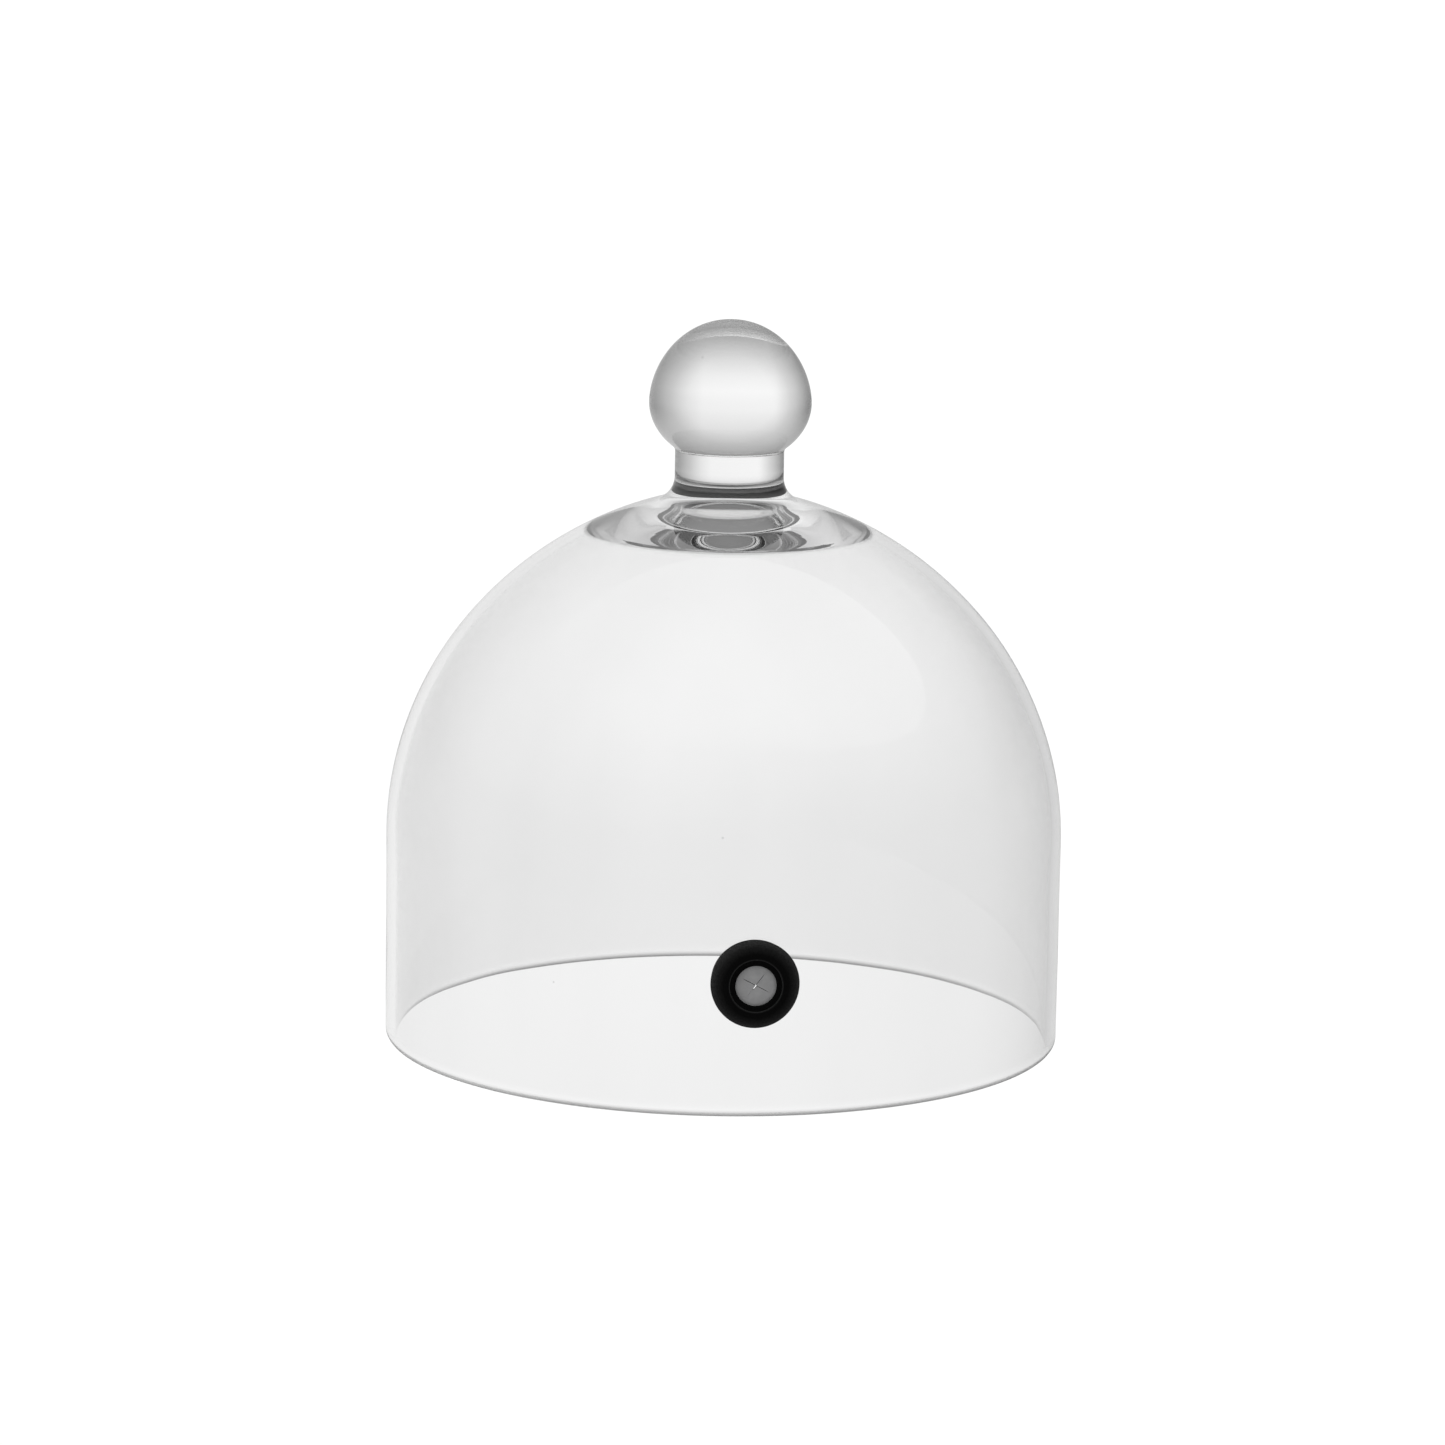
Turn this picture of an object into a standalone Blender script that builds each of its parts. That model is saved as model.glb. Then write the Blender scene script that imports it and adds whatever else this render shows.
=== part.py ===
"""Blown glass cheese dome with a smoke valve in its side.

Metres, +Z up. The origin is on the dome's axis in the plane of its rim, and the valve faces -Y.
"""

import math

import bmesh
import bpy
from mathutils import Vector

# The glass bell.
DOME_RADIUS = 0.100
WALL = 0.003
RIM_ROUNDING = 0.0012
SHOULDER_START = 0.0595
SHOULDER_RISE = 0.104
SHOULDER_SIDE_POWER = 1.8
SHOULDER_TOP_POWER = 2.05
FOOT_FILLET = 0.0074
CROWN_FLOOR_RADIUS = 0.040
CROWN_FLOOR_RISE = 0.002

# The solid knob, drawn up from the crown on a short neck.
NECK_RADIUS = 0.016
COLLAR_FILLET = 0.002
BALL_RADIUS = 0.0238
BALL_ABOVE = 0.0243
BALL_BELOW = 0.0182
BALL_SIDE_POWER = 1.85
BALL_TOP_POWER = 2.05
SEAM_TO_BALL_WIDEST = 0.0219
SEAM_GAP = 0.0003

# The valve, along its own axis: 0 is the outside of the glass, and plus is outwards.
VALVE_HEIGHT = 0.0388
HOLE_RADIUS = 0.010
FIT_GAP = 0.0003
FLANGE_OVERLAP = 0.0026
FLANGE_RADIUS = HOLE_RADIUS + FLANGE_OVERLAP
FLANGE_RISE = 0.0033
FLANGE_EDGE = 0.0009
FLANGE_FLAT = 0.0009
LIP_OVERLAP = 0.0020
LIP_RADIUS = HOLE_RADIUS + LIP_OVERLAP
LIP_EDGE = 0.0009
LIP_DEPTH = 0.0033
THROAT_RADIUS = 0.0058
THROAT_CHAMFER = 0.0006
NOSE_WALL = 0.0026
SEAT_WIDTH = 0.00155
SEAT_RADIUS = THROAT_RADIUS + SEAT_WIDTH
RING_THICKNESS = 0.0008
RING_BEVEL = 0.00015
MEMBRANE_THICKNESS = 0.0008
SLIT_MARGIN = 0.00115
SLIT_HALF_LENGTH = THROAT_RADIUS - SLIT_MARGIN
SLIT_GAP = 0.0002
SLIT_ANGLES = (math.radians(-28.0), math.radians(53.0))
FLAP_TIP_HALF_WIDTH = 0.00012

# How finely round shapes are faceted.
BELL_SEGMENTS = 80
KNOB_SEGMENTS = 48
VALVE_SEGMENTS = 48
CURVE_SAMPLES = 720
OUTER_STEPS = 14
INNER_STEPS = 10
FILLET_STEPS = 5
RIM_STEPS = 2
BALL_TOP_STEPS = 10
BALL_UNDER_STEPS = 4
FLANGE_STEPS = 6


def clear_scene():
    for obj in list(bpy.data.objects):
        bpy.data.objects.remove(obj)


def make_material(name, colour, roughness, transmission=0.0):
    material = bpy.data.materials.new(name)
    material.use_nodes = True
    shader = material.node_tree.nodes["Principled BSDF"]
    shader.inputs["Base Color"].default_value = (*colour, 1.0)
    shader.inputs["Roughness"].default_value = roughness
    shader.inputs["Metallic"].default_value = 0.0
    shader.inputs["Transmission Weight"].default_value = transmission
    return material


def add_object(name, bm, material, parent=None):
    """Turns the bmesh into a named object with smooth shading."""
    mesh = bpy.data.meshes.new(name)
    bm.to_mesh(mesh)
    bm.free()
    mesh.shade_smooth()
    mesh.set_sharp_from_angle(angle=math.radians(35))
    mesh.materials.append(material)
    obj = bpy.data.objects.new(name, mesh)
    obj.parent = parent
    bpy.context.scene.collection.objects.link(obj)
    return obj


def turned(profile, segments, closed):
    """Spins (radius, height) points about Z. A profile that isn't closed starts and ends on the axis."""
    bm = bmesh.new()
    points = [bm.verts.new((radius, 0.0, height)) for radius, height in profile]
    pairs = list(zip(points, points[1:]))
    if closed:
        pairs.append((points[-1], points[0]))
    edges = [bm.edges.new(pair) for pair in pairs]
    bmesh.ops.spin(
        bm,
        geom=points + edges,
        axis=(0, 0, 1),
        cent=(0, 0, 0),
        steps=segments,
        angle=math.tau,
        use_merge=True,
    )
    bmesh.ops.remove_doubles(bm, verts=bm.verts, dist=1e-6)
    bmesh.ops.recalc_face_normals(bm, faces=bm.faces)
    return bm


def arc(centre, radii, start, end, steps):
    """Points of an ellipse's arc, both ends included, with the angles in degrees."""
    points = []
    for step in range(steps + 1):
        angle = math.radians(start + (end - start) * step / steps)
        across, up = radii[0] * math.cos(angle), radii[1] * math.sin(angle)
        points.append((centre[0] + across, centre[1] + up))
    return points


def shoulder_height(radius, bell_radius, rise):
    """Height of the shoulder at a radius: a rounded outline that starts upright at the bell's side."""
    side = 1.0 - (radius / bell_radius) ** SHOULDER_SIDE_POWER
    return SHOULDER_START + rise * max(side, 0.0) ** (1.0 / SHOULDER_TOP_POWER)


def shoulder_curve(bell_radius, rise, inner_radius, steps):
    """Points from the bell's side up to inner_radius, closer together where the curve is steep."""
    first = math.pi / 2
    last = math.asin(inner_radius / bell_radius)
    points = []
    for step in range(steps + 1):
        radius = bell_radius * math.sin(first + (last - first) * step / steps)
        points.append((radius, shoulder_height(radius, bell_radius, rise)))
    return points


def blend_to_neck(curve, fillet, low, high, outside):
    """The fillet between a curve and the neck's side: its centre's height and the nearest curve point.

    outside says whether the fillet's centre moves off the curve as it rises.
    """
    centre_radius = NECK_RADIUS + fillet

    def nearest(height):
        return min(curve, key=lambda point: math.dist(point, (centre_radius, height)))

    for _ in range(60):
        middle = (low + high) / 2
        clear = math.dist(nearest(middle), (centre_radius, middle)) > fillet
        if clear == outside:
            high = middle
        else:
            low = middle
    return middle, nearest(middle)


def crown_foot():
    """The fillet under the neck: its centre's height and where it leaves the shoulder."""
    curve = shoulder_curve(DOME_RADIUS, SHOULDER_RISE, NECK_RADIUS, CURVE_SAMPLES)
    start = shoulder_height(NECK_RADIUS + FOOT_FILLET, DOME_RADIUS, SHOULDER_RISE)
    return blend_to_neck(curve, FOOT_FILLET, start, start + 3 * FOOT_FILLET, True)


def bell_profile(seam_height, foot_joins):
    """From the crown's flat top down the outside, round the rim and up the inside to the axis."""
    outer = shoulder_curve(DOME_RADIUS, SHOULDER_RISE, foot_joins[0], OUTER_STEPS)
    foot_centre = (NECK_RADIUS + FOOT_FILLET, seam_height)
    joins_at = math.degrees(math.atan2(foot_joins[1] - seam_height, foot_joins[0] - foot_centre[0]))
    foot = arc(foot_centre, (FOOT_FILLET, FOOT_FILLET), -180, joins_at, FILLET_STEPS)
    rim_out = DOME_RADIUS - RIM_ROUNDING
    rim_in = DOME_RADIUS - WALL + RIM_ROUNDING
    rounding = (RIM_ROUNDING, RIM_ROUNDING)
    rim = arc((rim_out, RIM_ROUNDING), rounding, 0, -90, RIM_STEPS)
    rim += arc((rim_in, RIM_ROUNDING), rounding, -90, -180, RIM_STEPS)
    inside_radius = DOME_RADIUS - WALL
    inner = shoulder_curve(inside_radius, SHOULDER_RISE - WALL, CROWN_FLOOR_RADIUS, INNER_STEPS)
    floor = []
    for share in (0.7, 0.35, 0.0):
        height = inner[-1][1] + CROWN_FLOOR_RISE * (1 - share**2)
        floor.append((CROWN_FLOOR_RADIUS * share, height))
    return [(0.0, seam_height)] + foot[:-1] + outer[::-1] + rim + inner + floor


def ball_top(widest):
    """The ball's upper half, from its top down to its widest height."""
    points = []
    for step in range(BALL_TOP_STEPS + 1):
        angle = math.radians(90 - 90 * step / BALL_TOP_STEPS)
        across = max(math.cos(angle), 0.0) ** (2 / BALL_TOP_POWER)
        up = max(math.sin(angle), 0.0) ** (2 / BALL_SIDE_POWER)
        points.append((BALL_RADIUS * across, widest + BALL_ABOVE * up))
    return points


def knob_profile(seam_height):
    """From the ball's top down its side and the neck to the flat end face."""
    widest = seam_height + SEAM_TO_BALL_WIDEST
    radii = (BALL_RADIUS, BALL_BELOW)
    underside = arc((0.0, widest), radii, -90, 0, CURVE_SAMPLES)
    reach = (NECK_RADIUS + COLLAR_FILLET) / BALL_RADIUS
    touches = widest - BALL_BELOW * math.sqrt(1 - reach**2)
    low = widest - BALL_BELOW - 3 * COLLAR_FILLET
    collar_height, joins = blend_to_neck(underside, COLLAR_FILLET, low, touches, False)
    joins_at = math.degrees(math.asin((joins[1] - widest) / BALL_BELOW))
    ball = ball_top(widest) + arc((0.0, widest), radii, 0, joins_at, BALL_UNDER_STEPS)[1:]
    collar_centre = (NECK_RADIUS + COLLAR_FILLET, collar_height)
    leaves_at = math.degrees(math.atan2(joins[1] - collar_height, joins[0] - collar_centre[0]))
    collar = arc(collar_centre, (COLLAR_FILLET, COLLAR_FILLET), leaves_at, 180, FILLET_STEPS)
    end_face = seam_height + SEAM_GAP
    neck_end = [(NECK_RADIUS, end_face), (0.0, end_face)]
    return [(0.0, ball[0][1])] + ball[1:] + collar[1:] + neck_end


def grommet_profile():
    """The rubber plug's section: flange, waist in the hole, inner lip, throat and seat."""
    front_radius = SEAT_RADIUS + FLANGE_FLAT
    edge_height = FIT_GAP + FLANGE_EDGE
    lip_face = -(WALL + FIT_GAP)
    lip_end = lip_face - LIP_DEPTH
    waist = HOLE_RADIUS - FIT_GAP
    bulge = (FLANGE_RADIUS - front_radius, FLANGE_RISE - edge_height)
    profile = [(SEAT_RADIUS, FLANGE_RISE)]
    profile += arc((front_radius, edge_height), bulge, 90, 0, FLANGE_STEPS)
    profile += [(FLANGE_RADIUS - FIT_GAP, FIT_GAP), (waist, FIT_GAP), (waist, lip_face)]
    profile += [(LIP_RADIUS, lip_face), (LIP_RADIUS, lip_face - LIP_EDGE)]
    profile += [(THROAT_RADIUS + NOSE_WALL, lip_end)]
    profile += [(THROAT_RADIUS + THROAT_CHAMFER, lip_end), (THROAT_RADIUS, lip_end + THROAT_CHAMFER)]
    profile += [(THROAT_RADIUS, seat_height()), (SEAT_RADIUS, seat_height())]
    return profile


def ring_front():
    return FLANGE_RISE - RING_BEVEL / 2


def membrane_front():
    return ring_front() - RING_THICKNESS - FIT_GAP


def seat_height():
    return membrane_front() - MEMBRANE_THICKNESS - FIT_GAP


def bend_round_glass(bm):
    """Bends the plug's flange and lip to follow the glass. Its seat and throat stay round and flat."""
    waist = HOLE_RADIUS - FIT_GAP
    for vert in bm.verts:
        radius = math.hypot(vert.co.x, vert.co.y)
        share = min(max((radius - SEAT_RADIUS) / (waist - SEAT_RADIUS), 0.0), 1.0)
        sag = DOME_RADIUS - math.sqrt(DOME_RADIUS**2 - vert.co.x**2)
        vert.co.z -= sag * share * share * (3 - 2 * share)


def flap_spans():
    """(middle direction, half-angle) of the four flaps that the two slits leave."""
    first, second = SLIT_ANGLES
    ends = (first, second, first + math.pi, second + math.pi, first + math.tau)
    return [((start + end) / 2, (end - start) / 2) for start, end in zip(ends, ends[1:])]


def hinge_distance(half_angle):
    """How far a flap's bending line is from the centre. Its rounded root stays a gap inside the hem."""
    return SLIT_HALF_LENGTH * math.cos(half_angle) - MEMBRANE_THICKNESS / 2 - FIT_GAP


def flap_mesh(half_angle):
    """A wedge with its root rounded about X. Y runs to the slits' crossing and Z outwards."""
    root = MEMBRANE_THICKNESS / 2
    heel = root + SLIT_GAP / 4
    to_centre = hinge_distance(half_angle)

    def half_width(along):
        wedge = (to_centre - max(along, heel)) * math.tan(half_angle)
        return wedge - SLIT_GAP / (2 * math.cos(half_angle))

    tip_reach = FLAP_TIP_HALF_WIDTH + SLIT_GAP / (2 * math.cos(half_angle))
    tip = to_centre - tip_reach / math.tan(half_angle)
    rounded = [(-y, z) for y, z in arc((0.0, 0.0), (root, root), 15, 90, 5)]
    stations = rounded + [(heel, root), (tip, root)]
    bm = bmesh.new()
    loops = []
    for along, high in stations:
        wide = half_width(along)
        corners = ((-wide, -high), (wide, -high), (wide, high), (-wide, high))
        loops.append([bm.verts.new((x, along, z)) for x, z in corners])
    for near, far in zip(loops, loops[1:]):
        for side in range(4):
            following = (side + 1) % 4
            bm.faces.new((near[side], near[following], far[following], far[side]))
    bm.faces.new(loops[0])
    bm.faces.new(loops[-1])
    bmesh.ops.recalc_face_normals(bm, faces=bm.faces)
    return bm


def prism(outline, low, high):
    """A straight-sided solid over a flat outline."""
    bm = bmesh.new()
    face = bm.faces.new([bm.verts.new((x, y, low)) for x, y in outline])
    extruded = bmesh.ops.extrude_face_region(bm, geom=[face])["geom"]
    raised = [item for item in extruded if isinstance(item, bmesh.types.BMVert)]
    bmesh.ops.translate(bm, verts=raised, vec=(0, 0, high - low))
    bmesh.ops.recalc_face_normals(bm, faces=bm.faces)
    return bm


def cut(obj, cutter):
    cutter.hide_render = True
    cutter.display_type = "WIRE"
    modifier = obj.modifiers.new("cut", "BOOLEAN")
    modifier.operation = "DIFFERENCE"
    modifier.solver = "EXACT"
    modifier.object = cutter


def circle(radius, segments):
    return arc((0.0, 0.0), (radius, radius), 0, 360 - 360 / segments, segments - 1)


def make_glass(glass, knob_glass, valve_frame):
    """The bell with its valve hole, and the knob on its crown."""
    seam_height, foot_joins = crown_foot()
    turned_bell = turned(bell_profile(seam_height, foot_joins), BELL_SEGMENTS, False)
    bell = add_object("glass_dome", turned_bell, glass)
    reach = 3 * WALL
    hole = prism(circle(HOLE_RADIUS, VALVE_SEGMENTS), -reach, reach)
    cut(bell, add_object("valve_hole_cutter", hole, glass, valve_frame))
    add_object("glass_knob", turned(knob_profile(seam_height), KNOB_SEGMENTS, False), knob_glass)


def make_grommet(black_rubber, valve_frame):
    plug = turned(grommet_profile(), VALVE_SEGMENTS, True)
    bend_round_glass(plug)
    add_object("valve_grommet", plug, black_rubber, valve_frame)


def make_retaining_ring(black_plastic, valve_frame):
    """The thin ring pressed into the seat over the membrane's edge."""
    outer = SEAT_RADIUS - FIT_GAP
    front = ring_front()
    back = front - RING_THICKNESS
    section = [(THROAT_RADIUS + RING_BEVEL, front), (outer - RING_BEVEL, front)]
    section += [(outer, front - RING_BEVEL), (outer, back)]
    section += [(THROAT_RADIUS, back), (THROAT_RADIUS, front - RING_BEVEL)]
    add_object("valve_retaining_ring", turned(section, VALVE_SEGMENTS, True), black_plastic, valve_frame)


def make_membrane(grey_silicone, valve_frame):
    """The grey disc, cut through where its four flaps bend inwards, and the flaps themselves."""
    front = membrane_front()
    back = front - MEMBRANE_THICKNESS
    outer = SEAT_RADIUS - FIT_GAP
    whole = prism(circle(outer, VALVE_SEGMENTS), back, front)
    disc = add_object("valve_membrane", whole, grey_silicone, valve_frame)
    corners = []
    for middle, half_angle in flap_spans():
        start = middle - half_angle
        corners.append((SLIT_HALF_LENGTH * math.cos(start), SLIT_HALF_LENGTH * math.sin(start)))
    opening = prism(corners, back - MEMBRANE_THICKNESS, front + MEMBRANE_THICKNESS)
    cut(disc, add_object("membrane_opening_cutter", opening, grey_silicone, valve_frame))
    for number, (middle, half_angle) in enumerate(flap_spans(), start=1):
        flap = add_object(f"membrane_flap_{number}", flap_mesh(half_angle), grey_silicone, valve_frame)
        away = hinge_distance(half_angle)
        centre = (front + back) / 2
        flap.location = Vector((away * math.cos(middle), away * math.sin(middle), centre))
        flap.rotation_euler = (0.0, 0.0, middle + math.pi / 2)


def main():
    clear_scene()
    glass = make_material("clear_glass", (0.96, 0.97, 0.97), 0.02, 1.0)
    knob_glass = make_material("knob_glass", (0.95, 0.96, 0.96), 0.02, 1.0)
    black_rubber = make_material("black_rubber", (0.012, 0.012, 0.013), 0.62)
    black_plastic = make_material("black_ring", (0.004, 0.004, 0.004), 0.45)
    grey_silicone = make_material("grey_silicone", (0.17, 0.17, 0.175), 0.55)
    valve_frame = bpy.data.objects.new("valve_frame", None)
    valve_frame.location = (0.0, -DOME_RADIUS, VALVE_HEIGHT)
    valve_frame.rotation_euler = (math.pi / 2, 0.0, 0.0)
    bpy.context.scene.collection.objects.link(valve_frame)
    make_glass(glass, knob_glass, valve_frame)
    make_grommet(black_rubber, valve_frame)
    make_retaining_ring(black_plastic, valve_frame)
    make_membrane(grey_silicone, valve_frame)


main()
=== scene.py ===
import math

import bmesh
import bpy
from mathutils import Matrix, Vector


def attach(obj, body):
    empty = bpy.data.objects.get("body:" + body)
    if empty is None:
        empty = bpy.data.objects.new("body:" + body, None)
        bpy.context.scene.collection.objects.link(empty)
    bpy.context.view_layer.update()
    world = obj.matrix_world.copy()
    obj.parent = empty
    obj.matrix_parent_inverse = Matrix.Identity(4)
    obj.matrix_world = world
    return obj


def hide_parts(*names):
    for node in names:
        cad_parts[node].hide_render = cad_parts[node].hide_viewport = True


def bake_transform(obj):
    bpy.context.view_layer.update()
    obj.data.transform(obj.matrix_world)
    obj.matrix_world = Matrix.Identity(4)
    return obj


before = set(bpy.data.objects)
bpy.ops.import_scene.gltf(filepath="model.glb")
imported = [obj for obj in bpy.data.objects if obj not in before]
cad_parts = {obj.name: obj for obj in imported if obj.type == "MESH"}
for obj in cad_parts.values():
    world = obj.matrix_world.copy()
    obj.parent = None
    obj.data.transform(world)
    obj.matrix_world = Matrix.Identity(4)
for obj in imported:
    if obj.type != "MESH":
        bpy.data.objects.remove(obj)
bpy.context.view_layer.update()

mm = 0.001
print("frame loaded:", len(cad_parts), "nodes")


# Small helpers for outlines, meshes and node trees.

def arcPoints(centre, radii, start, end, steps):
    # both ends included, angles in degrees
    points = []
    for step in range(steps + 1):
        angle = math.radians(start + (end - start) * step / steps)
        across, up = radii[0] * math.cos(angle), radii[1] * math.sin(angle)
        points.append((centre[0] + across, centre[1] + up))
    return points


def straightPoints(start, end, steps):
    # the start left out, the end included
    points = []
    for step in range(1, steps + 1):
        share = step / steps
        across, up = (end[0] - start[0]) * share, (end[1] - start[1]) * share
        points.append((start[0] + across, start[1] + up))
    return points


def smooth(share):
    share = min(max(share, 0.0), 1.0)
    return share * share * (3 - 2 * share)


def newObject(name, mesh):
    obj = bpy.data.objects.new(name, mesh)
    bpy.context.scene.collection.objects.link(obj)
    return obj


def outlineObject(name, outline):
    # the (radius, height) outline as a wire in the XZ plane
    mesh = bpy.data.meshes.new(name)
    edges = [(index, index + 1) for index in range(len(outline) - 1)]
    mesh.from_pydata([(radius, 0.0, height) for radius, height in outline], edges, [])
    return newObject(name, mesh)


def faceOutwards(mesh):
    bm = bmesh.new()
    bm.from_mesh(mesh)
    bmesh.ops.remove_doubles(bm, verts=bm.verts, dist=1e-6)
    bmesh.ops.dissolve_degenerate(bm, edges=bm.edges, dist=1e-7)
    bmesh.ops.recalc_face_normals(bm, faces=bm.faces)
    if bm.calc_volume(signed=True) < 0:
        bmesh.ops.reverse_faces(bm, faces=bm.faces)
    openEdges = sum(1 for edge in bm.edges if not edge.is_manifold)
    bm.to_mesh(mesh)
    bm.free()
    print("  ", mesh.name, len(mesh.polygons), "faces,", openEdges, "open edges")


def smoothed(obj, angle):
    obj.data.shade_smooth()
    obj.data.set_sharp_from_angle(angle=math.radians(angle))


def link(tree, fromNode, fromName, toNode, toName):
    tree.links.new(fromNode.outputs[fromName], toNode.inputs[toName])


def addMath(tree, operation, first, second):
    # first and second are an output socket or a number
    node = tree.nodes.new("ShaderNodeMath")
    node.operation = operation
    for socket, value in zip(node.inputs, (first, second)):
        if isinstance(value, (int, float)):
            socket.default_value = value
        else:
            tree.links.new(value, socket)
    return node.outputs[0]


def addWholeMath(tree, operation, first, second):
    node = tree.nodes.new("FunctionNodeIntegerMath")
    node.operation = operation
    for socket, value in zip(node.inputs, (first, second)):
        if isinstance(value, int):
            socket.default_value = value
        else:
            tree.links.new(value, socket)
    return node.outputs[0]


def addRange(tree, value, fromMin, fromMax, toMin=0.0, toMax=1.0, eased=False):
    node = tree.nodes.new("ShaderNodeMapRange")
    if eased:
        node.interpolation_type = "SMOOTHSTEP"
    tree.links.new(value, node.inputs["Value"])
    names = ("From Min", "From Max", "To Min", "To Max")
    for name, given in zip(names, (fromMin, fromMax, toMin, toMax)):
        if isinstance(given, (int, float)):
            node.inputs[name].default_value = given
        else:
            tree.links.new(given, node.inputs[name])
    return node.outputs["Result"]


# The turning tree: an outline spun round Z, with the slight unevenness of hand work.

def makeTurningTree():
    tree = bpy.data.node_groups.new("turnOutline", "GeometryNodeTree")
    tree.interface.new_socket("Geometry", in_out="INPUT", socket_type="NodeSocketGeometry")
    tree.interface.new_socket("Steps", in_out="INPUT", socket_type="NodeSocketInt")
    tree.interface.new_socket("Unevenness", in_out="INPUT", socket_type="NodeSocketFloat")
    tree.interface.new_socket("Patch Size", in_out="INPUT", socket_type="NodeSocketFloat")
    tree.interface.new_socket("Even Above", in_out="INPUT", socket_type="NodeSocketFloat")
    tree.interface.new_socket("Seed", in_out="INPUT", socket_type="NodeSocketFloat")
    tree.interface.new_socket("Material", in_out="INPUT", socket_type="NodeSocketMaterial")
    tree.interface.new_socket("Geometry", in_out="OUTPUT", socket_type="NodeSocketGeometry")
    nodes = tree.nodes
    given = nodes.new("NodeGroupInput")
    size = nodes.new("GeometryNodeAttributeDomainSize")
    link(tree, given, "Geometry", size, "Geometry")
    columns = addWholeMath(tree, "ADD", given.outputs["Steps"], 1)
    grid = nodes.new("GeometryNodeMeshGrid")
    tree.links.new(columns, grid.inputs["Vertices X"])
    link(tree, size, "Point Count", grid, "Vertices Y")
    index = nodes.new("GeometryNodeInputIndex")
    row = addWholeMath(tree, "MODULO", index.outputs[0], size.outputs["Point Count"])
    column = addWholeMath(tree, "DIVIDE_FLOOR", index.outputs[0], size.outputs["Point Count"])
    position = nodes.new("GeometryNodeInputPosition")
    sample = nodes.new("GeometryNodeSampleIndex")
    sample.data_type = "FLOAT_VECTOR"
    link(tree, given, "Geometry", sample, "Geometry")
    link(tree, position, "Position", sample, "Value")
    tree.links.new(row, sample.inputs["Index"])
    oneStep = addMath(tree, "DIVIDE", math.tau, given.outputs["Steps"])
    angle = addMath(tree, "MULTIPLY", column, oneStep)
    turn = nodes.new("ShaderNodeVectorRotate")
    turn.rotation_type = "Z_AXIS"
    link(tree, sample, "Value", turn, "Vector")
    tree.links.new(angle, turn.inputs["Angle"])
    # the unevenness only ever goes inwards, so that the outside size holds
    patches = nodes.new("ShaderNodeTexNoise")
    patches.noise_dimensions = "4D"
    link(tree, turn, "Vector", patches, "Vector")
    link(tree, given, "Seed", patches, "W")
    patchScale = addMath(tree, "DIVIDE", 1.0, given.outputs["Patch Size"])
    tree.links.new(patchScale, patches.inputs["Scale"])
    patches.inputs["Detail"].default_value = 1.0
    # most of the noise lies between 0.3 and 0.7
    depth = addRange(tree, patches.outputs["Fac"], 0.3, 0.7, 0.03, 1.0, eased=True)
    parts = nodes.new("ShaderNodeSeparateXYZ")
    link(tree, sample, "Value", parts, "Vector")
    # it fades out towards the even part
    even, fade = given.outputs["Even Above"], 30 * mm
    fadesFrom = addMath(tree, "SUBTRACT", even, fade)
    below = addRange(tree, parts.outputs["Z"], fadesFrom, even, 1.0, 0.0, eased=True)
    amount = addMath(tree, "MULTIPLY", depth, given.outputs["Unevenness"])
    amount = addMath(tree, "MULTIPLY", amount, below)
    across = nodes.new("ShaderNodeVectorMath")
    across.operation = "MULTIPLY"
    link(tree, turn, "Vector", across, "Vector")
    across.inputs[1].default_value = (1.0, 1.0, 0.0)
    outwards = nodes.new("ShaderNodeVectorMath")
    outwards.operation = "NORMALIZE"
    link(tree, across, "Vector", outwards, "Vector")
    inwards = nodes.new("ShaderNodeVectorMath")
    inwards.operation = "SCALE"
    link(tree, outwards, "Vector", inwards, "Vector")
    tree.links.new(addMath(tree, "MULTIPLY", amount, -1.0), inwards.inputs["Scale"])
    place = nodes.new("GeometryNodeSetPosition")
    link(tree, grid, "Mesh", place, "Geometry")
    link(tree, turn, "Vector", place, "Position")
    link(tree, inwards, "Vector", place, "Offset")
    merge = nodes.new("GeometryNodeMergeByDistance")
    link(tree, place, "Geometry", merge, "Geometry")
    merge.inputs["Distance"].default_value = 1e-6
    shade = nodes.new("GeometryNodeSetShadeSmooth")
    link(tree, merge, "Geometry", shade, "Geometry")
    realize = nodes.new("GeometryNodeRealizeInstances")
    link(tree, shade, "Geometry", realize, "Geometry")
    paint = nodes.new("GeometryNodeSetMaterial")
    link(tree, realize, "Geometry", paint, "Geometry")
    link(tree, given, "Material", paint, "Material")
    result = nodes.new("NodeGroupOutput")
    link(tree, paint, "Geometry", result, "Geometry")
    return tree


turningTree = makeTurningTree()


def turnedObject(name, outline, material, settings):
    # spins the outline with the turning tree, and keeps the result as a plain mesh
    wire = outlineObject(name + "_outline", outline)
    modifier = wire.modifiers.new("turn", "NODES")
    modifier.node_group = turningTree
    values = dict(settings)
    values["Material"] = material
    for item in turningTree.interface.items_tree:
        if item.in_out == "INPUT" and item.name in values:
            modifier[item.identifier] = values[item.name]
    graph = bpy.context.evaluated_depsgraph_get()
    mesh = bpy.data.meshes.new_from_object(wire.evaluated_get(graph))
    mesh.name = name
    bpy.data.objects.remove(wire)
    faceOutwards(mesh)
    return newObject(name, mesh)


# Materials.

def newMaterial(name):
    material = bpy.data.materials.new(name)
    material.use_nodes = True
    tree = material.node_tree
    return material, tree, tree.nodes["Principled BSDF"]


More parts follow.
